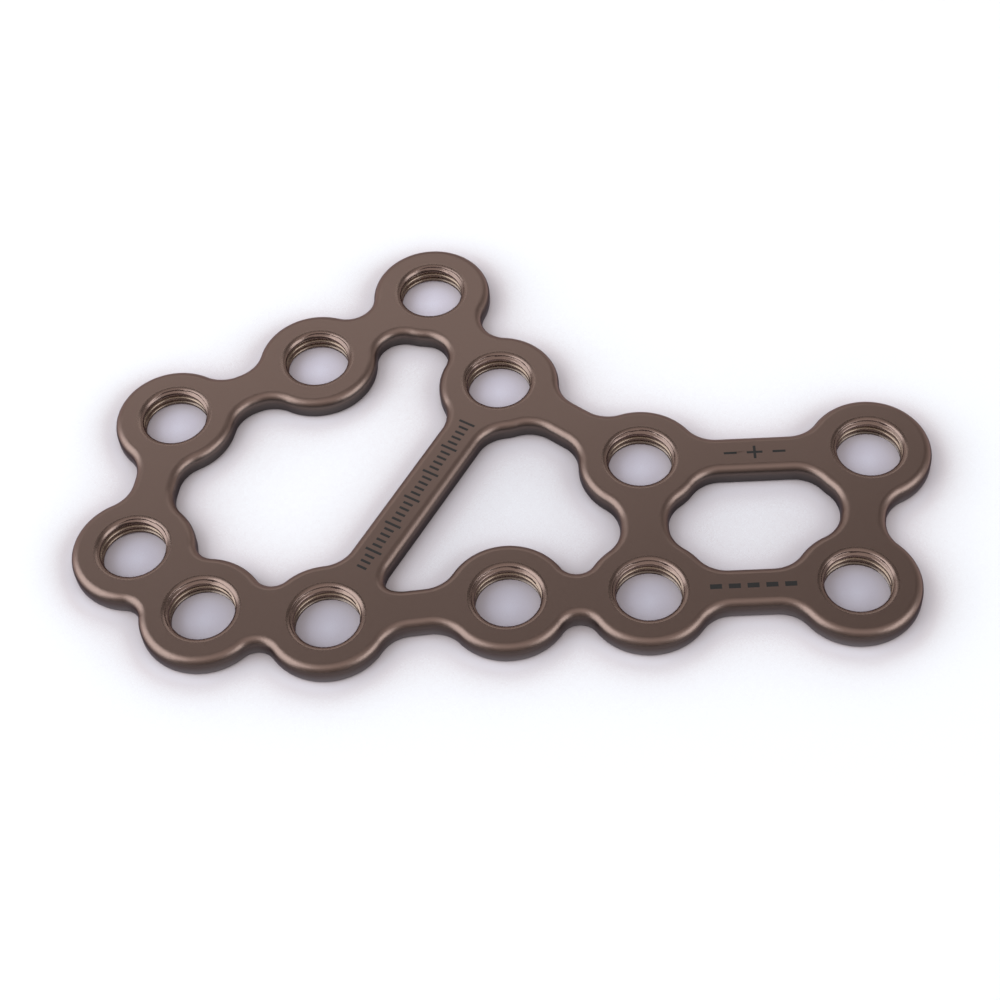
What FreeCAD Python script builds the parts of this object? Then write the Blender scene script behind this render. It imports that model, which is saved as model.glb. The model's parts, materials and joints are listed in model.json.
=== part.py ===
import FreeCAD, Part
import math
import os

# Locking plate for the right heel bone, 60 mm long, cut and rounded from one piece of titanium:
# rings with threaded screw holes, joined by slim webs around three windows.
# Units are millimetres. The bone side lies on Z = 0, and +X runs along the two straight rows of holes.

# Plate section
thickness = 1.5
edge_round = 0.65
bone_edge_round = 0.25

# Rings and their threaded holes
ring_diameter = 8.7
thread_diameter = 5.0
thread_pitch = 0.5
minor_drop = 1.0825
top_mouth_round = 0.5
bone_mouth_round = 0.3

# Webs between the rings, and the hollow curves where they meet the rings
strut_width = 3.1
post_width = 3.35
strut_fillet = 2.4
short_fillet = 1.9
neck_fillet = 1.3
acute_fillet = 0.8

# The bore is left at the crest of the metric head thread
bore_diameter = thread_diameter - minor_drop * thread_pitch
ring_radius = ring_diameter / 2

# Points closer than this are one point
same_point = 1e-6

# The two straight rows of holes, and the post between them
upper_row = -2.16
lower_row = -13.25
post_line = 9.67

# Hole centres, lettered clockwise from the top of the plate
holes = {
    "a": (-5.11, 14.28),
    "b": (-0.17, 5.36),
    "c": (post_line, upper_row),
    "d": (25.65, upper_row),
    "e": (23.62, lower_row),
    "f": (post_line, lower_row),
    "g": (0.18, lower_row),
    "h": (-12.01, -14.28),
    "i": (-20.53, -13.26),
    "j": (-25.65, -7.99),
    "k": (-23.63, 3.43),
    "l": (-13.47, 8.21),
}

# Each web: the two holes that it joins, its width at the waist and the fillet at its ends.
# Between rings that nearly touch, the two fillets are one curve and set the waist by themselves.
webs = [
    ("a", "b", strut_width, short_fillet),
    ("b", "c", strut_width, strut_fillet),
    ("c", "d", strut_width, strut_fillet),
    ("d", "e", strut_width, strut_fillet),
    ("e", "f", strut_width, strut_fillet),
    ("f", "g", strut_width, neck_fillet),
    ("g", "h", strut_width, strut_fillet),
    ("h", "i", strut_width, neck_fillet),
    ("i", "j", strut_width, neck_fillet),
    ("j", "k", strut_width, strut_fillet),
    ("k", "l", strut_width, strut_fillet),
    ("l", "a", strut_width, short_fillet),
    ("b", "h", strut_width, strut_fillet),
    ("c", "f", post_width, strut_fillet),
]

# Outlines, each walked with the open side on the left
rim = "abcdefghijkl"
windows = ["alkjihb", "bhgfc", "cfed"]


def centre(hole):
    """The centre of a hole as a vector."""
    x, y = holes[hole]
    return FreeCAD.Vector(x, y, 0)


def turned(vector, angle):
    """A flat vector turned anticlockwise by an angle in radians."""
    cosine = math.cos(angle)
    sine = math.sin(angle)
    return FreeCAD.Vector(vector.x * cosine - vector.y * sine, vector.x * sine + vector.y * cosine, 0)


def web_between(first, second):
    """The width and fillet of the web that joins two holes."""
    for one, other, width, fillet in webs:
        if {one, other} == {first, second}:
            return width, fillet
    raise ValueError("no web between " + first + " and " + second)


def flank(first, second):
    """The fillet circles on the left of the web from one hole to the next, as (centre, radius)."""
    width, fillet = web_between(first, second)
    start = centre(first)
    span = centre(second).sub(start)
    along = span / span.Length
    across = turned(along, math.pi / 2)
    reach = ring_radius + fillet
    rise = width / 2 + fillet
    foot = math.sqrt(reach ** 2 - rise ** 2)
    if 2 * foot < span.Length:
        near = start + along * foot + across * rise
        far = start + along * (span.Length - foot) + across * rise
        return [(near, fillet), (far, fillet)]
    rise = math.sqrt(reach ** 2 - (span.Length / 2) ** 2)
    return [(start + span / 2 + across * rise, fillet)]


def clockwise_turn(start, end):
    """The clockwise angle from one vector to another, from 0 to a full turn."""
    turn = math.atan2(start.y, start.x) - math.atan2(end.y, end.x)
    return turn % (2 * math.pi)


def crossing_fillet(first, second):
    """The small circle that rounds the corner where two equal fillet circles cross."""
    across = turned(second[0].sub(first[0]), math.pi / 2)
    half = across.Length / 2
    rise = math.sqrt((first[1] - acute_fillet) ** 2 - half ** 2)
    return ((first[0] + second[0]) / 2 + across * (rise / across.Length), acute_fillet)


def circles(loop):
    """The circles that the outline follows in turn. A negative radius turns clockwise."""
    flanks = [flank(loop[n - 1], loop[n]) for n in range(len(loop))]
    followed = []
    for n, hole in enumerate(loop):
        before = flanks[n]
        after = flanks[(n + 1) % len(loop)]
        followed += before
        middle = centre(hole)
        to_before = before[-1][0].sub(middle)
        to_after = after[0][0].sub(middle)
        gap = clockwise_turn(to_before, to_after)
        overlap = clockwise_turn(to_after, to_before)
        if overlap < gap and overlap < math.pi / 2:
            followed.append(crossing_fillet(before[-1], after[0]))
        else:
            followed.append((middle, -ring_radius))
    return followed


def tangent(first, second):
    """The points where a tangent line leaves one circle and meets the next."""
    span = second[0].sub(first[0])
    # Rounding the sine keeps circles that touch exactly tangent
    sine = round((first[1] - second[1]) / span.Length, 9)
    lean = math.asin(sine)
    left = turned(span / span.Length, lean + math.pi / 2)
    return first[0] - left * first[1], second[0] - left * second[1]


def arc(circle, start, end):
    """The edge along a circle between two of its points, on the side that its sign gives."""
    middle, radius = circle
    one = start.sub(middle)
    other = end.sub(middle)
    if radius < 0:
        bend = -clockwise_turn(one, other) / 2
    else:
        bend = clockwise_turn(other, one) / 2
    return Part.Arc(start, middle + turned(one, bend), end).toShape()


def outline(loop):
    """The closed wire around one loop of holes."""
    followed = circles(loop)
    count = len(followed)
    runs = [tangent(followed[n], followed[(n + 1) % count]) for n in range(count)]
    edges = []
    for n in range(count):
        start = runs[n - 1][1]
        leave, arrive = runs[n]
        edges.append(arc(followed[n], start, leave))
        if leave.distanceToPoint(arrive) > same_point:
            edges.append(Part.makeLine(leave, arrive))
    return Part.Wire(edges)


def flat_edges(solid, height):
    """The edges of a solid that lie flat at one height."""
    level = [edge for edge in solid.Edges if edge.BoundBox.ZLength < same_point]
    return [edge for edge in level if abs(edge.BoundBox.ZMin - height) < same_point]


def blank():
    """The plate before drilling: the rim with its windows, well rounded on top and less on the bone side."""
    wires = [outline(loop) for loop in [rim] + windows]
    solid = Part.Face(wires, "Part::FaceMakerBullseye").extrude(FreeCAD.Vector(0, 0, thickness))
    solid = solid.makeFillet(edge_round, flat_edges(solid, thickness))
    return solid.makeFillet(bone_edge_round, flat_edges(solid, 0))


def bore(hole):
    """The cutter for one hole, with its mouths rounded out at both faces."""
    radius = bore_diameter / 2
    upper = top_mouth_round
    lower = bone_mouth_round
    # How far the middle of a quarter circle lies from the sides of its square
    sag = 1 - math.sqrt(0.5)
    points = [
        FreeCAD.Vector(0, 0, 0),
        FreeCAD.Vector(radius + lower, 0, 0),
        FreeCAD.Vector(radius, 0, lower),
        FreeCAD.Vector(radius, 0, thickness - upper),
        FreeCAD.Vector(radius + upper, 0, thickness),
        FreeCAD.Vector(0, 0, thickness),
    ]
    lower_middle = FreeCAD.Vector(radius + sag * lower, 0, sag * lower)
    upper_middle = FreeCAD.Vector(radius + sag * upper, 0, thickness - sag * upper)
    profile = Part.Wire([
        Part.makeLine(points[0], points[1]),
        Part.Arc(points[1], lower_middle, points[2]).toShape(),
        Part.makeLine(points[2], points[3]),
        Part.Arc(points[3], upper_middle, points[4]).toShape(),
        Part.makeLine(points[4], points[5]),
        Part.makeLine(points[5], points[0]),
    ])
    cutter = Part.Face(profile).revolve(FreeCAD.Vector(0, 0, 0), FreeCAD.Vector(0, 0, 1), 360)
    cutter.translate(centre(hole))
    return cutter


def bone_plate():
    """The whole plate as one solid."""
    drilled = blank().cut([bore(hole) for hole in holes])
    return drilled.Solids[0]


os.makedirs("parts", exist_ok=True)
plate = bone_plate()
plate.exportStep("parts/bone_plate.step")
print("bone_plate", plate.ShapeType, plate.isValid(), "volume", round(plate.Volume, 2))
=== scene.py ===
"""A heel bone plate of brown anodised titanium, dressed for a product picture.

The plate's outline, edges and threaded holes are built as one closed mesh that stands for the solid plate.
Sizes are in millimetres until a mesh is made, and the hole centres come from the frame's mounts.
"""

import json
import logging
import math
from collections.abc import Callable, Iterator
from dataclasses import dataclass, field, replace
from enum import Enum

import bpy
import numpy as np
from mathutils import Matrix, Vector
from mathutils.geometry import tessellate_polygon


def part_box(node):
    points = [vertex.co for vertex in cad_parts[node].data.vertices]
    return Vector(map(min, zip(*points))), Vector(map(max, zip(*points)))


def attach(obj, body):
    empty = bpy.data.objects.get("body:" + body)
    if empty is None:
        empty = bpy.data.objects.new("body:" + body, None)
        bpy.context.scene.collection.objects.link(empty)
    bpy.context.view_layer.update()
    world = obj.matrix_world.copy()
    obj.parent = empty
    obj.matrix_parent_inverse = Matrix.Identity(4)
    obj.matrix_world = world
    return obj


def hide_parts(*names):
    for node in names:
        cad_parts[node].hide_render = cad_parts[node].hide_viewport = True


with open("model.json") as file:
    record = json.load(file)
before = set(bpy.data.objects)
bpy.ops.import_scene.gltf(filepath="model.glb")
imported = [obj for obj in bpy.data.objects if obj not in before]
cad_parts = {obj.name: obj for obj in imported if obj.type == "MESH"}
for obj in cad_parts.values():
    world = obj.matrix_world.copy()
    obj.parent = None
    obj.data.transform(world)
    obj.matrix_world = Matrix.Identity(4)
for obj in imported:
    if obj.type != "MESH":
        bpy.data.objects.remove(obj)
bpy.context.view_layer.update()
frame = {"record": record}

LOG = logging.getLogger("bone_plate")
MM = 0.001
NODE = "bone_plate"
BODY = "root"
SAME_POINT_MM = 1e-4

Point = tuple[float, float, float]
Loop = list[Vector]


def linear_colour(hex_colour: str) -> tuple[float, float, float, float]:
    """Turns an sRGB hex colour into Blender's linear values.

    Args:
        hex_colour: six hex digits, with or without a leading hash sign.

    Returns:
        Linear red, green and blue, with an alpha of one.
    """
    digits = hex_colour.lstrip("#")
    channels = [int(digits[n:n + 2], 16) / 255 for n in (0, 2, 4)]
    red, green, blue = [c / 12.92 if c <= 0.04045 else ((c + 0.055) / 1.055) ** 2.4 for c in channels]
    return red, green, blue, 1.0


def add_node(
    tree: bpy.types.NodeTree,
    kind: str,
    values: dict | None = None,
    links: dict | None = None,
    **settings: object,
) -> bpy.types.Node:
    """Adds one node with its settings and links.

    Args:
        tree: the node tree that gets the node.
        kind: the node's type name.
        values: a constant for each named or numbered input.
        links: for each named or numbered input, the (node, output) that feeds it.
        settings: properties of the node itself.

    Returns:
        The new node.
    """
    node = tree.nodes.new(kind)
    for name, value in settings.items():
        setattr(node, name, value)
    for name, value in (values or {}).items():
        node.inputs[name].default_value = value
    for name, (source, output) in (links or {}).items():
        tree.links.new(source.outputs[output], node.inputs[name])
    return node


def set_ramp(node: bpy.types.Node, stops: list[tuple[float, tuple[float, ...]]]) -> None:
    """Sets the colours of a ramp node.

    Args:
        node: the ramp node.
        stops: each stop's place from nothing to one, and its linear colour.
    """
    elements = node.color_ramp.elements
    while len(elements) < len(stops):
        elements.new(1.0)
    for element, (spot, colour) in zip(elements, stops):
        element.position = spot
        element.color = colour


def empty_material(name: str) -> bpy.types.Material:
    """Makes a material with an empty node tree.

    Args:
        name: the material's name.

    Returns:
        The new material.
    """
    material = bpy.data.materials.new(name)
    material.use_nodes = True
    material.node_tree.nodes.clear()
    return material


@dataclass(frozen=True)
class AnodisedTitanium:
    """Titanium with a thin brown oxide film, which takes its sheen from the surface under the film.

    Attributes:
        name: the material's name.
        colour: film colour over most of the surface.
        tone: film colour where the film is a little thicker.
        wall_shade_steps: the walls' colour at heights in millimetres, from the bone side up, which paints
            shade, highlights and floor reflection onto them.
        wall_shade_top_mm: the heights between which that painted wall colour passes into the face's.
        edge_tint: colour of the reflection at a grazing angle.
        roughness: middle roughness.
        roughness_spread: how far the roughness varies either way.
        cloud_mm: size of the soft patches of film colour.
        grain_mm: size of the surface grain.
        grain_depth_mm: depth of the surface grain.
    """

    name: str
    colour: str
    tone: str
    wall_shade_steps: tuple[tuple[float, str], ...]
    wall_shade_top_mm: tuple[float, float]
    edge_tint: str
    roughness: float
    roughness_spread: float
    cloud_mm: float
    grain_mm: float
    grain_depth_mm: float

    def material(self) -> bpy.types.Material:
        """Builds the material.

        Returns:
            The finished material.
        """
        made = empty_material(self.name)
        tree = made.node_tree
        place = add_node(tree, "ShaderNodeTexCoord")
        clouds = add_node(
            tree, "ShaderNodeTexNoise",
            values={"Scale": 1 / (self.cloud_mm * MM), "Detail": 3.0, "Roughness": 0.5},
            links={"Vector": (place, "Object")},
        )
        film = add_node(
            tree, "ShaderNodeMix", data_type="RGBA",
            values={6: linear_colour(self.colour), 7: linear_colour(self.tone)},
            links={0: (clouds, "Fac")},
        )
        # The walls' colour by height is painted shade and light, which passes into the film's colour near
        # the top.
        parts = add_node(tree, "ShaderNodeSeparateXYZ", links={0: (place, "Object")})
        height = add_node(
            tree, "ShaderNodeMapRange",
            values={"From Min": 0.0, "From Max": self.wall_shade_top_mm[1] * MM},
            links={"Value": (parts, "Z")},
        )
        wall = add_node(tree, "ShaderNodeValToRGB", links={0: (height, 0)})
        set_ramp(wall, [(spot / self.wall_shade_top_mm[1], linear_colour(hue)) for spot, hue in self.wall_shade_steps])
        rise = add_node(
            tree, "ShaderNodeMapRange", interpolation_type="SMOOTHSTEP",
            values={"From Min": self.wall_shade_top_mm[0] * MM, "From Max": self.wall_shade_top_mm[1] * MM},
            links={"Value": (parts, "Z")},
        )
        film_and_shade = add_node(
            tree, "ShaderNodeMix", data_type="RGBA",
            links={0: (rise, 0), 6: (wall, 0), 7: (film, 2)},
        )
        grain = add_node(
            tree, "ShaderNodeTexNoise",
            values={"Scale": 1 / (self.grain_mm * MM), "Detail": 2.0, "Roughness": 0.6},
            links={"Vector": (place, "Object")},
        )
        sheen = add_node(
            tree, "ShaderNodeMapRange",
            values={
                "From Min": 0.3,
                "From Max": 0.7,
                "To Min": self.roughness - self.roughness_spread,
                "To Max": self.roughness + self.roughness_spread,
            },
            links={"Value": (grain, "Fac")},
        )
        relief = add_node(
            tree, "ShaderNodeBump",
            values={"Strength": 1.0, "Distance": self.grain_depth_mm * MM},
            links={"Height": (grain, "Fac")},
        )
        surface = add_node(
            tree, "ShaderNodeBsdfPrincipled",
            values={"Metallic": 1.0, "Specular Tint": linear_colour(self.edge_tint)},
            links={"Base Color": (film_and_shade, 2), "Roughness": (sheen, 0), "Normal": (relief, 0)},
        )
        add_node(tree, "ShaderNodeOutputMaterial", links={"Surface": (surface, 0)})
        return made


@dataclass(frozen=True)
class LaserMark:
    """Titanium darkened by a marking laser, which leaves a matt, nearly black oxide.

    Attributes:
        name: the material's name.
        colour: the oxide's colour.
        tone: the paler colour where the beam's passes leave gaps.
        roughness: roughness of the oxide.
        pass_mm: distance between the laser's passes, drawn wider than the real one so that it shows.
    """

    name: str
    colour: str
    tone: str
    roughness: float
    pass_mm: float

    def material(self) -> bpy.types.Material:
        """Builds the material.

        Returns:
            The finished material.
        """
        made = empty_material(self.name)
        tree = made.node_tree
        place = add_node(tree, "ShaderNodeTexCoord")
        passes = add_node(
            tree, "ShaderNodeTexNoise",
            values={"Scale": 1 / (self.pass_mm * MM), "Detail": 1.0},
            links={"Vector": (place, "Object")},
        )
        oxide = add_node(
            tree, "ShaderNodeMix", data_type="RGBA",
            values={6: linear_colour(self.colour), 7: linear_colour(self.tone)},
            links={0: (passes, "Fac")},
        )
        surface = add_node(
            tree, "ShaderNodeBsdfPrincipled",
            values={"Metallic": 0.0, "Roughness": self.roughness},
            links={"Base Color": (oxide, 2)},
        )
        add_node(tree, "ShaderNodeOutputMaterial", links={"Surface": (surface, 0)})
        return made


# Blasting with fine glass beads leaves an even satin that spreads each highlight into a soft band.
# The real craters are about 0.05 mm across, and they are drawn three times as coarse so that they show.
BLASTED_FACE = AnodisedTitanium(
    name="titanium_bead_blasted_brown_anodised",
    colour="#836c63",
    tone="#7f685f",
    # The walls' dark grey-brown is painted shade, for the window walls that lie in the metal's own shadow.
    wall_shade_steps=((0.0, "#575352"), (0.5, "#5a5553"), (0.8, "#625a56"), (1.05, "#665954")),
    wall_shade_top_mm=(1.12, 1.27),
    edge_tint="#b9b4bb",
    roughness=0.36,
    roughness_spread=0.03,
    cloud_mm=9.0,
    grain_mm=0.15,
    grain_depth_mm=0.004,
)

# The outer rim's wall has painted shade up the wall and a painted reflection of the pale floor near the
# bone side.
# So it turns paler towards the bone side.
RIM_SHADE_AND_REFLECTION = replace(
    BLASTED_FACE,
    name="titanium_brown_anodised_rim_shade_and_reflection",
    wall_shade_steps=(
        (0.0, "#817c7b"), (0.3, "#807b7a"), (0.5, "#736d6b"), (0.7, "#6a625e"), (0.88, "#605652"),
        (1.05, "#544844"),
    ),
)

# The beads don't reach far into the holes, so the cut thread is smoother and shows sharper lines.
# Up the wall its paler colour is a painted highlight on the thread's bands, and near the bone side its
# darker colour is painted shade deep in the hole.
CUT_THREAD = AnodisedTitanium(
    name="titanium_cut_thread_brown_anodised",
    colour="#836c63",
    tone="#7f685f",
    wall_shade_steps=((0.0, "#6f625c"), (0.4, "#8a7466"), (1.0, "#8f796a")),
    wall_shade_top_mm=(0.95, 1.15),
    edge_tint="#b9b4bb",
    roughness=0.27,
    roughness_spread=0.03,
    cloud_mm=3.0,
    grain_mm=0.12,
    grain_depth_mm=0.002,
)

# The marks are flat and matt, and nearly black against the satin brown.
BLACK_MARK = LaserMark(
    name="titanium_laser_blackened",
    colour="#100a08",
    tone="#1c1410",
    roughness=0.55,
    pass_mm=0.08,
)


class Finish(Enum):
    """The finishes of the plate, in the order of its material slots."""

    FACE = BLASTED_FACE
    RIM = RIM_SHADE_AND_REFLECTION
    THREAD = CUT_THREAD
    MARK = BLACK_MARK


FINISH_INDEX = {finish: number for number, finish in enumerate(Finish)}


@dataclass(frozen=True)
class Circle:
    """A round stretch of an outline. A negative radius is walked clockwise.

    Attributes:
        centre: the centre, in millimetres.
        radius: the signed radius, in millimetres.
    """

    centre: Vector
    radius: float


@dataclass(frozen=True)
class Web:
    """A web between two holes.

    Attributes:
        holes: letters of the two holes that it joins.
        width: width at its waist.
        fillet: radius of the hollow curve at its ends.
    """

    holes: str
    width: float
    fillet: float


@dataclass
class PlatePlan:
    """The plate's outline seen from above, walked with the open side on the left.

    Attributes:
        ring_radius: outer radius of each ring.
        strut_width: width of the webs with straight flanks.
        post_width: width of the web between the two straight rows.
        strut_fillet: hollow curve at the ends of a long web.
        short_fillet: hollow curve of the two short webs at the top ring.
        neck_fillet: hollow curve between rings that nearly touch.
        acute_fillet: small curve in the one sharp corner.
        arc_step_mm: longest chord along an arc.
        loops: letters of the holes along the rim, and then along each window.
        centres: the centre of each hole, by its letter.
        webs: the webs between the rings.
    """

    ring_radius: float = 4.35
    strut_width: float = 3.1
    post_width: float = 3.35
    strut_fillet: float = 2.4
    short_fillet: float = 1.9
    neck_fillet: float = 1.3
    acute_fillet: float = 0.8
    arc_step_mm: float = 0.25
    loops: tuple[str, ...] = ("abcdefghijkl", "alkjihb", "bhgfc", "cfed")
    centres: dict[str, Vector] = field(default_factory=dict)
    webs: list[Web] = field(default_factory=list)

    def __post_init__(self) -> None:
        """Reads the hole centres from the frame's mounts and lists the webs."""
        for mount in frame["record"]["mounts"]:
            if mount["kind"] == "threaded_hole":
                x, y, _ = mount["pos_m"]
                self.centres[mount["name"][-1]] = Vector((x / MM, y / MM))
        struts = ("bc", "cd", "de", "ef", "gh", "jk", "kl", "bh")
        self.webs += [Web(pair, self.strut_width, self.strut_fillet) for pair in struts]
        self.webs += [Web(pair, self.strut_width, self.short_fillet) for pair in ("ab", "la")]
        self.webs += [Web(pair, self.strut_width, self.neck_fillet) for pair in ("fg", "hi", "ij")]
        self.webs.append(Web("cf", self.post_width, self.strut_fillet))

    def web_between(self, first: str, second: str) -> Web:
        """Finds the web that joins two holes."""
        return next(web for web in self.webs if set(web.holes) == {first, second})

    def flank(self, first: str, second: str) -> list[Circle]:
        """Gives the hollow curves on the left of the web from one hole to the next.

        Args:
            first: letter of the hole that the walk leaves.
            second: letter of the hole that it reaches.

        Returns:
            Two circles with a straight flank between them, or one where the web is short.
        """
        web = self.web_between(first, second)
        start = self.centres[first]
        span = self.centres[second] - start
        along = span.normalized()
        across = along.orthogonal()
        reach = self.ring_radius + web.fillet
        rise = web.width / 2 + web.fillet
        foot = math.sqrt(reach ** 2 - rise ** 2)
        if 2 * foot < span.length:
            feet = (foot, span.length - foot)
            return [Circle(start + along * f + across * rise, web.fillet) for f in feet]
        rise = math.sqrt(reach ** 2 - (span.length / 2) ** 2)
        return [Circle(start + span / 2 + across * rise, web.fillet)]

    def crossing(self, first: Circle, second: Circle) -> Circle:
        """Gives the small circle that rounds the corner where two hollow curves cross.

        Args:
            first: the hollow curve that the walk leaves.
            second: the hollow curve that it reaches.

        Returns:
            The small circle.
        """
        span = second.centre - first.centre
        rise = math.sqrt((first.radius - self.acute_fillet) ** 2 - (span.length / 2) ** 2)
        middle = (first.centre + second.centre) / 2
        return Circle(middle + span.normalized().orthogonal() * rise, self.acute_fillet)

    def circles(self, loop: str) -> list[Circle]:
        """Lists the circles that one loop follows in turn.

        Args:
            loop: letters of the holes that it passes.

        Returns:
            The circles, in the order of the walk.
        """
        flanks = [self.flank(loop[n - 1], loop[n]) for n in range(len(loop))]
        followed: list[Circle] = []
        for n, hole in enumerate(loop):
            before = flanks[n]
            after = flanks[(n + 1) % len(loop)]
            followed += before
            middle = self.centres[hole]
            # The ring's own arc is left out where the hollow curves on both sides of it cross first
            overlap = clockwise_turn(after[0].centre - middle, before[-1].centre - middle)
            if overlap < math.pi / 4:
                followed.append(self.crossing(before[-1], after[0]))
            else:
                followed.append(Circle(middle, -self.ring_radius))
        return followed

    def outline(self, loop: str) -> tuple[Loop, Loop]:
        """Walks one loop.

        Args:
            loop: letters of the holes that it passes.

        Returns:
            The outline's points, and the direction that faces away from the metal at each.
        """
        followed = self.circles(loop)
        count = len(followed)
        runs = [tangent(followed[n], followed[(n + 1) % count]) for n in range(count)]
        points: Loop = []
        facings: Loop = []
        for n, circle in enumerate(followed):
            for point, facing in self.arc(circle, runs[n - 1][1], runs[n][0]):
                if not points or (point - points[-1]).length > SAME_POINT_MM:
                    points.append(point)
                    facings.append(facing)
        if (points[0] - points[-1]).length < SAME_POINT_MM:
            points.pop()
            facings.pop()
        return points, facings

    def arc(self, circle: Circle, start: Vector, end: Vector) -> Iterator[tuple[Vector, Vector]]:
        """Steps along a circle between two of its points.

        Args:
            circle: the circle, whose sign gives the way round.
            start: first point.
            end: last point.

        Yields:
            Each point and the direction that faces away from the metal there.
        """
        one = start - circle.centre
        other = end - circle.centre
        if circle.radius < 0:
            sweep = -clockwise_turn(one, other)
        else:
            sweep = clockwise_turn(other, one)
        steps = max(2, math.ceil(abs(sweep * circle.radius) / self.arc_step_mm))
        for n in range(steps + 1):
            arm = turned(one, sweep * n / steps)
            facing = arm.normalized() * (1 if circle.radius < 0 else -1)
            yield circle.centre + arm, facing


def turned(vector: Vector, angle: float) -> Vector:
    """Turns a flat vector anticlockwise by an angle in radians."""
    return Matrix.Rotation(angle, 2) @ vector


def clockwise_turn(start: Vector, end: Vector) -> float:
    """Measures the clockwise angle between two flat vectors, from nothing to a full turn."""
    return (math.atan2(start.y, start.x) - math.atan2(end.y, end.x)) % math.tau


def tangent(first: Circle, second: Circle) -> tuple[Vector, Vector]:
    """Finds where a tangent leaves one circle and meets the next.

    Args:
        first: the circle that the walk leaves.
        second: the circle that it reaches.

    Returns:
        The two points, which are one point where the circles touch.
    """
    span = second.centre - first.centre
    lean = math.asin(round((first.radius - second.radius) / span.length, 6))
    left = turned(span.normalized(), lean + math.pi / 2)
    return first.centre - left * first.radius, second.centre - left * second.radius


@dataclass
class HeadThread:
    """The locking thread in a screw hole, as a radius at each height and angle.

    Attributes:
        pitch: height of one turn.
        major_radius: radius at the root of the thread.
        crest_radius: radius at its crest, which is the hole's free way.
        top_mouth: radius of the rounding at the mouth on top.
        bone_mouth: radius of the rounding at the mouth on the bone side.
        crest_share: share of a turn's height that the flat crest takes.
        root_share: share of a turn's height that the flat root takes.
        start_turn: part of a turn by which the thread's start is turned clockwise.
        softness: how far blasting has rounded the thread's edges, from none to one.
        run_out: height under the top over which the thread fades into the mouth.
        least_gap: least height between two points of the wall.
    """

    pitch: float = 0.5
    major_radius: float = 2.5
    crest_radius: float = 2.2294
    top_mouth: float = 0.5
    bone_mouth: float = 0.08
    crest_share: float = 0.22
    root_share: float = 0.15
    start_turn: float = 0.0
    softness: float = 0.5
    run_out: float = 0.14
    least_gap: float = 0.014

    def mouth(self, height: float, thickness: float) -> float:
        """Gives the radius that the mouth's rounding leaves at a height.

        Args:
            height: height above the bone side.
            thickness: the plate's thickness.

        Returns:
            The radius.
        """
        if height < self.bone_mouth:
            rounding = self.bone_mouth
            depth = height
        else:
            rounding = self.top_mouth
            depth = min(thickness - height, rounding)
        rise = math.sqrt(max(0.0, rounding ** 2 - (rounding - depth) ** 2))
        return self.crest_radius + rounding - rise

    def cut(self, height: float, angle: float, thickness: float) -> float:
        """Gives the radius that the thread alone would cut at a height and angle.

        Args:
            height: height above the bone side.
            angle: angle round the hole.
            thickness: the plate's thickness.

        Returns:
            The radius, with flanks that are eased into the crest and the root.
        """
        phase = (height / self.pitch - angle / math.tau + self.start_turn) % 1.0
        away = abs(phase - 0.5) * 2
        low = self.root_share
        high = 1 - self.crest_share
        share = min(1.0, max(0.0, (away - low) / (high - low)))
        eased = share * share * (3 - 2 * share)
        share += (eased - share) * self.softness
        depth = (self.major_radius - self.crest_radius) * (1 - share)
        return self.crest_radius + depth * min(1.0, (thickness - height) / self.run_out)

    def radius(self, height: float, angle: float, thickness: float) -> float:
        """Gives the hole's radius, where the thread and the mouth each take metal away."""
        return max(self.mouth(height, thickness), self.cut(height, angle, thickness))

    def heights(self, angle: float, thickness: float, steps: int) -> list[float]:
        """Lists the heights that one upright line down the wall needs, so that no edge is cut across.

        Args:
            angle: the line's angle round the hole.
            thickness: the plate's thickness.
            steps: steps over each rounded mouth.

        Returns:
            The heights from the top down, with each end once.
        """
        shares = [1 - math.cos(n / steps * math.pi / 2) for n in range(1, steps + 1)]
        wanted = [thickness - self.top_mouth * share for share in shares]
        wanted += [self.bone_mouth * share for share in shares]
        flank_low = self.root_share / 2
        flank_high = 0.5 - self.crest_share / 2
        third = (flank_high - flank_low) / 3
        phases = [0.0] + [0.5 + side * (flank_low + third * n) for side in (-1, 1) for n in range(4)]
        turns = math.ceil(thickness / self.pitch) + 1
        shift = angle / math.tau - self.start_turn
        wanted += [self.pitch * (turn + phase + shift) for turn in range(-1, turns) for phase in phases]
        kept = self.crossings(angle, thickness)
        for height in wanted:
            between = self.least_gap < height < thickness - self.least_gap
            if between and all(abs(height - other) > self.least_gap for other in kept):
                kept.append(height)
        return [thickness] + sorted(kept, reverse=True) + [0.0]

    def crossings(self, angle: float, thickness: float) -> list[float]:
        """Lists the heights at one angle where the thread runs out into a rounded mouth.

        Args:
            angle: angle round the hole.
            thickness: the plate's thickness.

        Returns:
            The heights from the bone side up, none of them too close to another.
        """
        count = 300
        found: list[float] = []
        lead = 0.0
        for n in range(1, count):
            height = thickness * n / count
            gap = self.mouth(height, thickness) - self.cut(height, angle, thickness)
            if n > 1 and (gap > 0) != (lead > 0):
                share = abs(lead) / (abs(lead) + abs(gap))
                place = height - thickness / count * (1 - share)
                if all(abs(place - other) > self.least_gap for other in found):
                    found.append(place)
            lead = gap
        return found

    def normal(self, height: float, angle: float, thickness: float) -> Vector:
        """Gives the wall's direction towards the hole, from small steps round and up.

        Args:
            height: height above the bone side.
            angle: angle round the hole.
            thickness: the plate's thickness.

        Returns:
            The wall's normal.
        """
        step = 0.002
        around = (
            self.radius(height, angle + step, thickness) - self.radius(height, angle - step, thickness)
        ) / (2 * step)
        low = max(0.0, height - step)
        high = min(thickness, height + step)
        up = (self.radius(high, angle, thickness) - self.radius(low, angle, thickness)) / (high - low)
        here = self.radius(height, angle, thickness)
        outward = Vector((math.cos(angle), math.sin(angle), 0))
        sideways = Vector((-math.sin(angle), math.cos(angle), 0))
        return (-outward + sideways * (around / here) + Vector((0, 0, up))).normalized()


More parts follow.
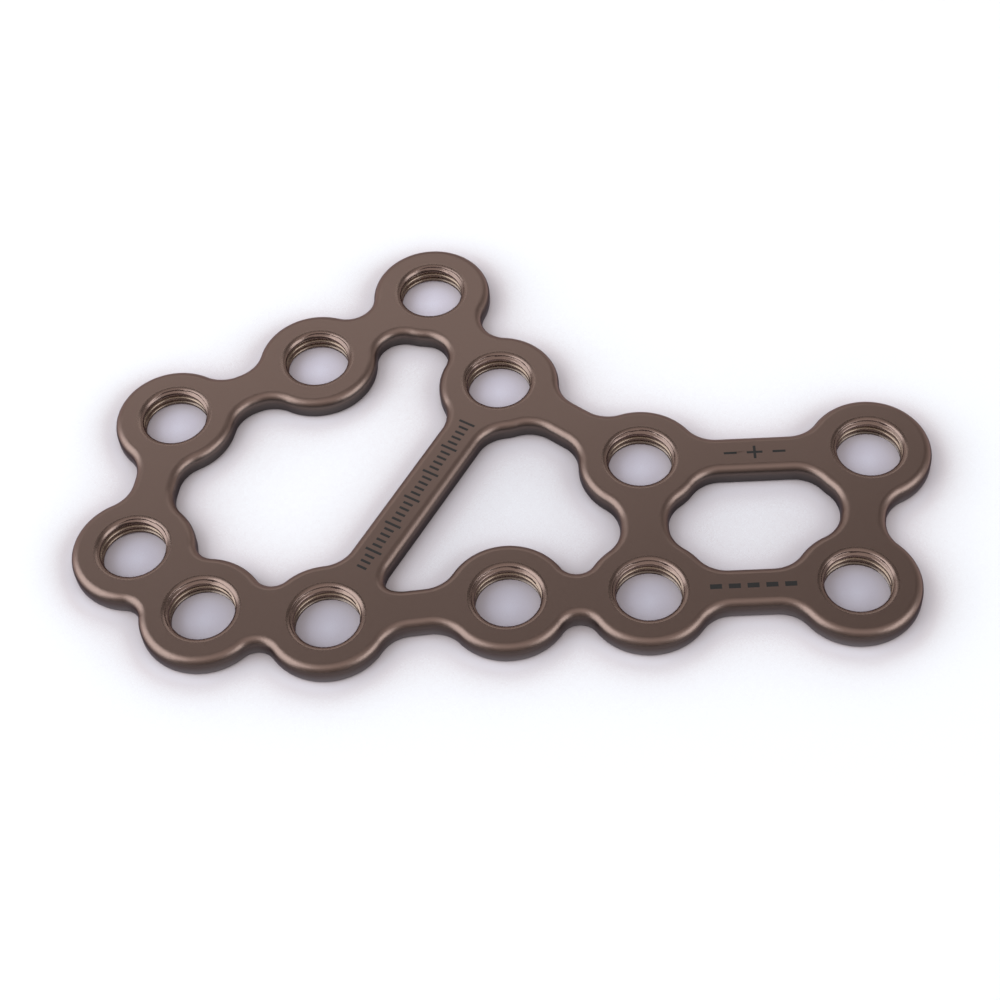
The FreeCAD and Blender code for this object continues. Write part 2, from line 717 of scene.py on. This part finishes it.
@dataclass
class EtchedMarks:
    """Plain index marks on three of the webs, in place of a real plate's marks.

    Attributes:
        plan: the plate's plan, which carries the marks.
        stroke: width of a mark's lines.
        short_tick: length of most ticks on the scale.
        long_tick: length of every fifth tick.
        tick_gap: distance between ticks.
        tick_count: number of ticks.
        cross_reach: length of each arm of the cross.
        cross_dash: length of the dashes beside the cross.
        cross_offset: distance of those dashes from the cross.
        bold_dash: length of the bold dashes.
        bold_gap: distance between them.
    """

    plan: PlatePlan
    stroke: float = 0.19
    short_tick: float = 0.75
    long_tick: float = 1.25
    tick_gap: float = 0.5
    tick_count: int = 29
    cross_reach: float = 0.55
    cross_dash: float = 0.9
    cross_offset: float = 1.7
    bold_dash: float = 0.8
    bold_gap: float = 1.25

    def placed(self, web: str, along: float, corners: list[tuple[float, float]]) -> Loop:
        """Lays a small shape on the middle of a web.

        Args:
            web: letters of the web's two holes.
            along: distance of the shape from the middle of the web.
            corners: the shape's corners, along and across the web.

        Returns:
            The corners in the plate's plan.
        """
        start = self.plan.centres[web[0]]
        span = self.plan.centres[web[1]] - start
        direction = span.normalized()
        across = direction.orthogonal()
        middle = start + span / 2 + direction * along
        return [middle + direction * a + across * b for a, b in corners]

    def bar(self, length: float, width: float) -> list[tuple[float, float]]:
        """Gives the corners of a bar.

        Args:
            length: its size along the web.
            width: its size across the web.

        Returns:
            The corners round the bar's middle.
        """
        a = length / 2
        b = width / 2
        return [(-a, -b), (a, -b), (a, b), (-a, b)]

    def cross(self, reach: float, width: float) -> list[tuple[float, float]]:
        """Gives the corners of an upright cross.

        Args:
            reach: length of each arm from the middle.
            width: width of the arms.

        Returns:
            The corners round the middle of the cross.
        """
        w = width / 2
        quarter = [(reach, -w), (reach, w), (w, w)]
        corners: list[tuple[float, float]] = []
        for _ in range(4):
            corners += quarter
            quarter = [(-y, x) for x, y in quarter]
        return corners

    def scale(self) -> list[Loop]:
        """Builds the ruled scale along the slanted web.

        Returns:
            One loop for each tick, with a long tick at every fifth.
        """
        ticks = []
        for n in range(self.tick_count):
            length = self.short_tick if n % 5 else self.long_tick
            along = (n - (self.tick_count - 1) / 2) * self.tick_gap
            ticks.append(self.placed("bh", along, self.bar(self.stroke, length)))
        return ticks

    def centre_mark(self) -> list[Loop]:
        """Builds the cross between two dashes on the upper straight web.

        Returns:
            The cross and then the two dashes.
        """
        dash = self.bar(self.cross_dash, self.stroke)
        marks = [self.placed("cd", 0, self.cross(self.cross_reach, self.stroke))]
        marks += [self.placed("cd", side * self.cross_offset, dash) for side in (-1, 1)]
        return marks

    def dashes(self) -> list[Loop]:
        """Builds the row of bold dashes on the lower straight web."""
        bold = self.bar(self.bold_dash, 2 * self.stroke)
        return [self.placed("fe", step * self.bold_gap, bold) for step in (-2, -1, 0, 1, 2)]

    def loops(self) -> list[Loop]:
        """Gives every mark as a closed loop."""
        return self.scale() + self.centre_mark() + self.dashes()


@dataclass
class Skin:
    """A mesh in the making.

    Attributes:
        points: the points, in metres.
        normals: the normal at each point.
        faces: the points round each face.
        finishes: the material slot of each face.
    """

    points: list[Point] = field(default_factory=list)
    normals: list[Point] = field(default_factory=list)
    faces: list[tuple[int, ...]] = field(default_factory=list)
    finishes: list[int] = field(default_factory=list)

    def add_point(self, point: Vector, normal: Vector) -> int:
        """Adds a point.

        Args:
            point: its place in millimetres.
            normal: its normal.

        Returns:
            The point's number.
        """
        self.points.append(tuple(point * MM))
        self.normals.append(tuple(normal))
        return len(self.points) - 1

    def add_face(self, corners: tuple[int, ...], finish: Finish) -> None:
        """Adds a face with its finish."""
        self.faces.append(corners)
        self.finishes.append(FINISH_INDEX[finish])

    def zip_columns(self, left: list[int], right: list[int], finish: Finish) -> None:
        """Joins two upright columns of points with triangles, always down the shorter step.

        Args:
            left: the left column's points from the top down, as seen from the open side.
            right: the right column's points from the top down.
            finish: the finish of the wall between them.
        """
        a = b = 0
        while a < len(left) - 1 or b < len(right) - 1:
            down_left = self.points[left[a + 1]][2] if a < len(left) - 1 else -math.inf
            down_right = self.points[right[b + 1]][2] if b < len(right) - 1 else -math.inf
            if down_left > down_right:
                self.add_face((left[a], right[b], left[a + 1]), finish)
                a += 1
            else:
                self.add_face((left[a], right[b], right[b + 1]), finish)
                b += 1

    def add_band(self, upper: list[int], lower: list[int], finish: Finish) -> None:
        """Joins two closed rows of points, with the open side on the left of the walk.

        Args:
            upper: the upper row.
            lower: the lower row, with as many points.
            finish: the finish of the band.
        """
        count = len(upper)
        for n in range(count):
            m = (n + 1) % count
            self.add_face((upper[n], upper[m], lower[m], lower[n]), finish)

    def fill(self, loops: list[list[int]], up: bool, finish: Finish) -> None:
        """Fills a flat area that is bounded by closed rows of points.

        Args:
            loops: the outer row and the rows of any openings in it.
            up: whether the area faces up.
            finish: the area's finish.
        """
        order = [number for loop in loops for number in loop]
        flat = [[Vector(self.points[number][:2]) / MM for number in loop] for loop in loops]
        corners = [point for loop in flat for point in loop]
        for triangle in tessellate_polygon([[p.to_3d() for p in loop] for loop in flat]):
            a, b, c = (corners[n] for n in triangle)
            area = (b - a).cross(c - a)
            chosen = triangle if (area > 0) == up else tuple(reversed(triangle))
            self.add_face(tuple(order[n] for n in chosen), finish)


@dataclass
class BonePlate:
    """The whole plate, as one closed mesh.

    Attributes:
        plan: the plate's plan.
        thread: the thread in its holes.
        marks: the marks on its webs.
        edge_round: radius of the rounding along every edge on top.
        bone_round: radius of the rounding along every edge on the bone side.
        round_steps: steps over each quarter of a rounding.
        hole_steps: columns round each hole.
        start_turns: where the thread of each hole starts, as a part of a turn.
        skin: the mesh in the making.
    """

    plan: PlatePlan
    thread: HeadThread
    marks: EtchedMarks
    edge_round: float = 0.65
    bone_round: float = 0.25
    round_steps: int = 10
    hole_steps: int = 96
    start_turns: dict[str, float] = field(default_factory=lambda: {
        "a": 0.9, "b": 0.1, "c": 0.0, "d": 0.15, "e": 0.1, "f": 0.15,
        "g": 0.2, "h": 0.2, "i": 0.2, "j": 0.9, "k": 0.95, "l": 0.9,
    })
    skin: Skin = field(default_factory=Skin)

    def __post_init__(self) -> None:
        """Reads the plate's thickness from the frame."""
        low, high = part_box(NODE)
        self.thickness = (high.z - low.z) / MM

    def edge_profile(self) -> list[tuple[float, float, float, float]]:
        """Gives the plate's edge from top to bottom.

        Returns:
            For each row, how far it lies inside the outline, its height, and the outward and upward
            parts of its normal.
        """
        rows = []
        top = (0, self.edge_round, self.thickness - self.edge_round)
        bottom = (1, self.bone_round, self.bone_round)
        for quarter, radius, middle in (top, bottom):
            for n in range(self.round_steps + 1):
                angle = (quarter + n / self.round_steps) * math.pi / 2
                out = math.sin(angle)
                up = math.cos(angle)
                rows.append((radius * (1 - out), middle + radius * up, out, up))
        return rows

    def build_edge(self, loop: str) -> tuple[list[int], list[int]]:
        """Builds the rounded edge along one loop.

        Args:
            loop: letters of the holes that it passes.

        Returns:
            Its first and last rows of points, on the top and on the bone side.
        """
        points, facings = self.plan.outline(loop)
        rows = []
        for inset, height, out, up in self.edge_profile():
            row = []
            for point, facing in zip(points, facings):
                place = (point - facing * inset).to_3d() + Vector((0, 0, height))
                row.append(self.skin.add_point(place, facing.to_3d() * out + Vector((0, 0, up))))
            rows.append(row)
        # The outer rim's walls get the painted floor reflection, and the windows' walls the darker painted
        # shade.
        finish = Finish.RIM if loop == self.plan.loops[0] else Finish.FACE
        for upper, lower in zip(rows, rows[1:]):
            self.skin.add_band(upper, lower, finish)
        return rows[0], rows[-1]

    def build_hole(self, letter: str) -> tuple[list[int], list[int]]:
        """Builds the threaded wall of one hole.

        Args:
            letter: the hole's letter.

        Returns:
            Its rows of points at the top and at the bone side.
        """
        centre = self.plan.centres[letter].to_3d()
        thread = replace(self.thread, start_turn=self.start_turns[letter])
        columns = []
        for n in range(self.hole_steps):
            angle = math.tau * n / self.hole_steps
            arm = Vector((math.cos(angle), math.sin(angle), 0))
            column = []
            for height in thread.heights(angle, self.thickness, self.round_steps):
                radius = thread.radius(height, angle, self.thickness)
                place = centre + arm * radius + Vector((0, 0, height))
                normal = self.wall_normal(thread, height, angle)
                column.append(self.skin.add_point(place, normal))
            columns.append(column)
        for n, column in enumerate(columns):
            self.skin.zip_columns(columns[n - 1], column, Finish.THREAD)
        return [column[0] for column in columns], [column[-1] for column in columns]

    def wall_normal(self, thread: HeadThread, height: float, angle: float) -> Vector:
        """Gives the wall's normal, which is upright where the mouth meets a flat face.

        Args:
            thread: the hole's thread.
            height: height above the bone side.
            angle: angle round the hole.

        Returns:
            The normal.
        """
        if height >= self.thickness:
            return Vector((0, 0, 1))
        if height <= 0:
            return Vector((0, 0, -1))
        return thread.normal(height, angle, self.thickness)

    def build_marks(self) -> list[list[int]]:
        """Builds the marks flush with the top.

        Returns:
            The row of points round each mark, which the face leaves open.
        """
        up = Vector((0, 0, 1))
        rows = []
        for loop in self.marks.loops():
            row = [self.skin.add_point(p.to_3d() + up * self.thickness, up) for p in loop]
            self.skin.fill([row], True, Finish.MARK)
            rows.append(row)
        return rows

    def build(self) -> bpy.types.Object:
        """Builds the plate as one object.

        Returns:
            The finished object, in the frame's place.
        """
        edges = [self.build_edge(loop) for loop in self.plan.loops]
        holes = [self.build_hole(letter) for letter in self.plan.centres]
        rims = edges + holes
        self.skin.fill([top for top, _ in rims] + self.build_marks(), True, Finish.FACE)
        self.skin.fill([bottom for _, bottom in rims], False, Finish.FACE)
        mesh = bpy.data.meshes.new("dressed_plate")
        mesh.from_pydata(self.skin.points, [], self.skin.faces)
        for finish in Finish:
            mesh.materials.append(finish.value.material())
        mesh.polygons.foreach_set("material_index", self.skin.finishes)
        mesh.polygons.foreach_set("use_smooth", [True] * len(mesh.polygons))
        mesh.normals_split_custom_set_from_vertices(self.skin.normals)
        mesh.update()
        plate = bpy.data.objects.new("dressed_plate", mesh)
        bpy.context.scene.collection.objects.link(plate)
        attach(plate, BODY)
        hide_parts(NODE)
        triangles = sum(len(face) - 2 for face in self.skin.faces)
        LOG.info("dressed_plate: %d points, %d triangles", len(self.skin.points), triangles)
        return plate


@dataclass(frozen=True)
class Softbox:
    """A rectangular area lamp.

    Attributes:
        name: the lamp's name.
        place_mm: where it stands.
        target_mm: what it is turned to.
        size_mm: its width and its height.
        radiance: how bright its face is, where one is white.
        colour: colour of its light.
    """

    name: str
    place_mm: Point
    target_mm: Point
    size_mm: tuple[float, float]
    radiance: float
    colour: str

    def hang(self) -> None:
        """Adds the lamp to the scene."""
        width, height = (side * MM for side in self.size_mm)
        lamp = bpy.data.lights.new(self.name, "AREA")
        lamp.shape = "RECTANGLE"
        lamp.size = width
        lamp.size_y = height
        lamp.energy = self.radiance * math.pi * width * height
        lamp.color = linear_colour(self.colour)[:3]
        holder = bpy.data.objects.new(self.name, lamp)
        holder.location = Vector(self.place_mm) * MM
        aim = Vector(self.target_mm) * MM - holder.location
        holder.rotation_euler = aim.to_track_quat("-Z", "Y").to_euler()
        bpy.context.scene.collection.objects.link(holder)


def spots_inside(loop: Loop, x: np.ndarray, y: np.ndarray) -> np.ndarray:
    """Tells which spots lie inside a closed outline.

    Args:
        loop: the outline's points.
        x: the spots' places to the right.
        y: the spots' places to the rear.

    Returns:
        One truth value for each spot.
    """
    found = np.zeros(x.shape, dtype=bool)
    for start, end in zip(loop, loop[1:] + loop[:1]):
        if start.y != end.y:
            crossing = start.x + (y - start.y) * (end.x - start.x) / (end.y - start.y)
            found ^= ((start.y > y) != (end.y > y)) & (x < crossing)
    return found


def blurred(values: np.ndarray, spread: float) -> np.ndarray:
    """Blurs a grid of values both ways with a bell curve.

    Args:
        values: the grid of values.
        spread: the bell curve's standard deviation, in steps of the grid.

    Returns:
        The blurred grid, of the same size.
    """
    reach = math.ceil(3 * spread)
    bell = np.exp(-0.5 * (np.arange(-reach, reach + 1) / spread) ** 2)
    bell /= bell.sum()
    for axis in (0, 1):
        values = np.apply_along_axis(np.convolve, axis, values, bell, mode="same")
    return values


@dataclass
class Studio:
    """The floor, the lamps, the air and the camera.

    Attributes:
        plan: the plate's plan, for the floor that its windows and holes shut in.
        fine_mm: half the width and half the depth of the floor's finely divided middle.
        fine_step_mm: step of that division.
        shut_in_shade: painted shade that the floor takes on in a small window, and then in a hole.
        shut_in_shade_mm: how softly each painted shade begins.
        bored_mm: radius of the floor that a hole shuts in.
        rear_lightening: how much lighter the painted shade in the holes is made with each millimetre to
            the rear.
        even_mm: place to the rear where the painted shade in the holes has its plain colour.
        floor_side_mm: side of the square floor.
        floor_reach_mm: how far round a spot of the floor the metal counts as near.
        floor_shade_steps: colour of the floor at each openness to the sky, painted shade close to the
            metal that fades to white far off.
        air_colour: colour of the soft light from all round.
        air_near: strength of that light on the viewer's side, at heights from the ground to the zenith.
        air_far: its strength on the far side, at the same kind of heights.
        air_turn: how far to either side of the middle the near side passes into the far side.
        camera_mm: the camera's place.
        camera_right: the direction to the right of its picture.
        camera_up: the direction to the top of its picture.
        lens_mm: focal length.
        sensor_mm: width of the sensor.
        lamps: the softboxes.
    """

    plan: PlatePlan
    fine_mm: tuple[float, float] = (40.0, 26.0)
    fine_step_mm: float = 0.5
    shut_in_shade: tuple[str, str] = ("#f2f2f3", "#f5f6ff")
    shut_in_shade_mm: tuple[float, float] = (1.2, 0.8)
    bored_mm: float = 2.3
    rear_lightening: float = 0.011
    even_mm: float = -3.0
    floor_side_mm: float = 3000.0
    floor_reach_mm: float = 20.0
    floor_shade_steps: tuple[tuple[float, str], ...] = (
        (0.45, "#dccbca"), (0.68, "#ede0e3"), (0.8, "#ece1e4"), (0.92, "#e4d3d2"), (0.955, "#f0dfde"),
        (0.985, "#fff9f9"),
    )
    air_colour: str = "#ffffff"
    air_near: tuple[tuple[float, float], ...] = (
        (0.0, 0.08), (0.2, 0.12), (0.34, 0.22), (0.64, 0.43), (0.77, 0.63), (0.87, 0.93), (0.94, 1.0),
        (1.0, 0.82),
    )
    air_far: tuple[tuple[float, float], ...] = (
        (0.0, 0.85), (0.17, 0.7), (0.34, 0.5), (0.64, 0.34), (0.77, 0.18), (0.87, 0.15), (0.94, 0.38),
        (1.0, 0.67),
    )
    air_turn: float = 0.4
    camera_mm: Point = (5.161, -89.121, 117.385)
    camera_right: Point = (0.998332, -0.013609, -0.056101)
    camera_up: Point = (0.043867, 0.810567, 0.584001)
    lens_mm: float = 74.32
    sensor_mm: float = 36.0
    lamps: tuple[Softbox, ...] = (
        Softbox("left_softbox", (-486, -68, 344), (0, 0, 0), (690, 620), 2.75, "#e6f6ff"),
        Softbox("right_softbox", (465, -210, 294), (0, 0, 0), (450, 400), 2.85, "#e6f6ff"),
        Softbox("left_rear_fill", (-280, 450, 200), (0, 0, 0), (420, 340), 0.15, "#ffffff"),
        Softbox("rear_panel", (-16, 112, 110), (-5, 10, 0), (170, 56), 0.88, "#f2fbff"),
    )

    def floor_painted_shade(self, x: np.ndarray, y: np.ndarray) -> np.ndarray:
        """Paints shade on the floor that metal shuts in, where the low light from the lamps doesn't reach,
        and paints it lighter in the holes towards the rear.

        Args:
            x: the floor's grid, places to the right in millimetres.
            y: the floor's grid, places to the rear in millimetres.

        Returns:
            A linear colour with alpha for each spot of the grid.
        """
        rim, wide_window = (self.plan.outline(loop)[0] for loop in self.plan.loops[:2])
        small = spots_inside(rim, x, y) & ~spots_inside(wide_window, x, y)
        bored = np.zeros(x.shape, dtype=bool)
        for centre in self.plan.centres.values():
            bored |= np.hypot(x - centre.x, y - centre.y) < self.bored_mm
        tint = np.ones(x.shape + (4,))
        shares = []
        for area, hue, spread in zip((small, bored), self.shut_in_shade, self.shut_in_shade_mm):
            share = blurred(area.astype(float), spread / self.fine_step_mm)[..., None]
            tint *= 1 + share * (np.array(linear_colour(hue)) - 1)
            shares.append(share)
        in_holes = shares[1]
        return tint * (1 + in_holes * self.rear_lightening * (y - self.even_mm)[..., None])

    def lay_floor(self) -> None:
        """Lays the pale floor under the plate, with painted shade close to the metal."""
        half = self.floor_side_mm / 2
        sides = []
        for reach in self.fine_mm:
            fine = np.arange(-reach, reach + self.fine_step_mm / 2, self.fine_step_mm)
            sides.append(np.concatenate([[-half], fine, [half]]))
        x, y = np.meshgrid(*sides, indexing="ij")
        deep = x.shape[1]
        corners = [a * deep + b for a in range(x.shape[0] - 1) for b in range(deep - 1)]
        faces = [(n, n + deep, n + deep + 1, n + 1) for n in corners]
        mesh = bpy.data.meshes.new("floor")
        mesh.from_pydata([(a * MM, b * MM, 0) for a, b in zip(x.flat, y.flat)], [], faces)
        shade = mesh.color_attributes.new("shut_in_shade", "FLOAT_COLOR", "POINT")
        shade.data.foreach_set("color", self.floor_painted_shade(x, y).ravel())
        floor = bpy.data.objects.new("floor", mesh)
        bpy.context.scene.collection.objects.link(floor)
        # Matt paper gives no glint of its own. Close to the metal its colour is painted shade that deepens
        # as the metal closes in, a pale rose that the cool lamps turn to a soft lavender, and further off
        # it is plain white.
        material = empty_material("paper_matt_white")
        tree = material.node_tree
        openness = add_node(
            tree, "ShaderNodeAmbientOcclusion", samples=8,
            values={"Distance": self.floor_reach_mm * MM},
        )
        tint = add_node(tree, "ShaderNodeValToRGB", links={0: (openness, "AO")})
        set_ramp(tint, [(spot, linear_colour(colour)) for spot, colour in self.floor_shade_steps])
        # The vertex colour multiplies in more painted shade where windows and holes shut the floor in.
        shut_in_shade = add_node(tree, "ShaderNodeVertexColor", layer_name="shut_in_shade")
        colour = add_node(
            tree, "ShaderNodeMix", data_type="RGBA", blend_type="MULTIPLY",
            values={0: 1.0},
            links={6: (tint, 0), 7: (shut_in_shade, 0)},
        )
        paper = add_node(
            tree, "ShaderNodeBsdfDiffuse",
            values={"Roughness": 0.0},
            links={"Color": (colour, 2)},
        )
        add_node(tree, "ShaderNodeOutputMaterial", links={"Surface": (paper, 0)})
        mesh.materials.append(material)

    def fill_air(self) -> None:
        """Sets the soft light from all round, which is dimmest low down on the viewer's side."""
        world = bpy.data.worlds.new("studio_air")
        bpy.context.scene.world = world
        world.use_nodes = True
        tree = world.node_tree
        tree.nodes.clear()
        place = add_node(tree, "ShaderNodeTexCoord")
        parts = add_node(tree, "ShaderNodeSeparateXYZ", links={0: (place, "Generated")})
        near = add_node(tree, "ShaderNodeValToRGB", links={0: (parts, "Z")})
        set_ramp(near, [(spot, (level, level, level, 1.0)) for spot, level in self.air_near])
        far = add_node(tree, "ShaderNodeValToRGB", links={0: (parts, "Z")})
        set_ramp(far, [(spot, (level, level, level, 1.0)) for spot, level in self.air_far])
        side = add_node(
            tree, "ShaderNodeMapRange", interpolation_type="SMOOTHSTEP",
            values={"From Min": -self.air_turn, "From Max": self.air_turn},
            links={"Value": (parts, "Y")},
        )
        strength = add_node(
            tree, "ShaderNodeMix", data_type="RGBA",
            links={0: (side, 0), 6: (near, 0), 7: (far, 0)},
        )
        light = add_node(
            tree, "ShaderNodeBackground",
            values={"Color": linear_colour(self.air_colour)},
            links={"Strength": (strength, 2)},
        )
        add_node(tree, "ShaderNodeOutputWorld", links={"Surface": (light, 0)})

    def set_camera(self) -> None:
        """Sets the camera at the picture's angle."""
        lens = bpy.data.cameras.new("camera")
        lens.lens = self.lens_mm
        lens.sensor_width = self.sensor_mm
        lens.clip_start = MM
        camera = bpy.data.objects.new("camera", lens)
        right = Vector(self.camera_right).normalized()
        up = Vector(self.camera_up).normalized()
        back = right.cross(up)
        pose = Matrix((right, back.cross(right), back)).transposed().to_4x4()
        pose.translation = Vector(self.camera_mm) * MM
        camera.matrix_world = pose
        bpy.context.scene.collection.objects.link(camera)
        bpy.context.scene.camera = camera

    def build(self) -> None:
        """Builds the whole studio and reports it."""
        self.lay_floor()
        self.fill_air()
        for lamp in self.lamps:
            lamp.hang()
        self.set_camera()
        view = bpy.context.scene.view_settings
        view.view_transform = "Standard"
        LOG.info("studio: floor, air, camera and %d lamps", len(self.lamps))


def main() -> None:
    """Builds the plate and its studio."""
    logging.basicConfig(level=logging.INFO, format="%(name)s: %(message)s")
    plan = PlatePlan()
    plate = BonePlate(plan=plan, thread=HeadThread(), marks=EtchedMarks(plan))
    plate.build()
    Studio(plan).build()


if __name__ == "__main__":
    main()
